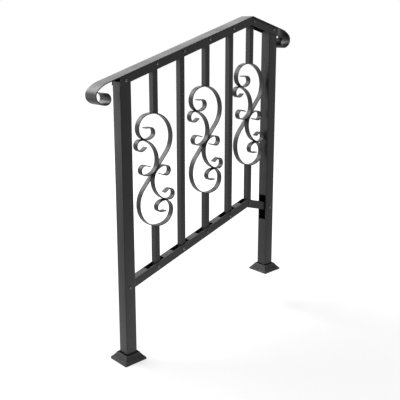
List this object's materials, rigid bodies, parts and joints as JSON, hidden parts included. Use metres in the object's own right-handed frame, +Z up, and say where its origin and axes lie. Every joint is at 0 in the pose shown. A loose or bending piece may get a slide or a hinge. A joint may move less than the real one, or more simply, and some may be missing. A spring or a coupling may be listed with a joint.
{
  "type": "stair handrail",
  "caption": "Sloping steel stair handrail with curled ends, square posts on covered base plates, straight pickets and scrollwork pickets.",
  "frame": {"origin": "middle of the lower base plate's underside", "axes": "+Z up along the posts, +X level from the lower post to the upper post, +Y across the railing to the side of the nuts"},
  "size_m": [0.8416, 0.0838, 1.0767],
  "materials": {
    "frame_coat": "black satin powder coat",
    "scroll_coat": "black satin powder coat on bent flat bar",
    "cover_coat": "black fine-textured powder coat",
    "fixing_black": "black oxide screws and nuts"
  },
  "bodies": {
    "root": {"lower_base_flange": "frame_coat", "upper_base_flange": "frame_coat", "lower_post": "frame_coat", "upper_post": "frame_coat", "handrail_bar": "frame_coat", "handrail_channel": "frame_coat", "bottom_rail": "frame_coat", "picket_2": "frame_coat", "picket_4": "frame_coat", "lower_base_cover": "cover_coat", "upper_base_cover": "cover_coat", "picket_1_upper_part": "frame_coat", "picket_1_lower_part": "frame_coat", "s_scroll_1": "scroll_coat", "upper_c_scroll_1": "scroll_coat", "lower_c_scroll_1": "scroll_coat", "picket_3_upper_part": "frame_coat", "picket_3_lower_part": "frame_coat", "s_scroll_3": "scroll_coat", "upper_c_scroll_3": "scroll_coat", "lower_c_scroll_3": "scroll_coat", "picket_5_upper_part": "frame_coat", "picket_5_lower_part": "frame_coat", "s_scroll_5": "scroll_coat", "upper_c_scroll_5": "scroll_coat", "lower_c_scroll_5": "scroll_coat", "handrail_bolts": "fixing_black", "handrail_nuts": "fixing_black", "rail_bolts": "fixing_black", "rail_nuts": "fixing_black", "post_bolts": "fixing_black", "post_nuts": "fixing_black"}
  },
  "joints": []
}
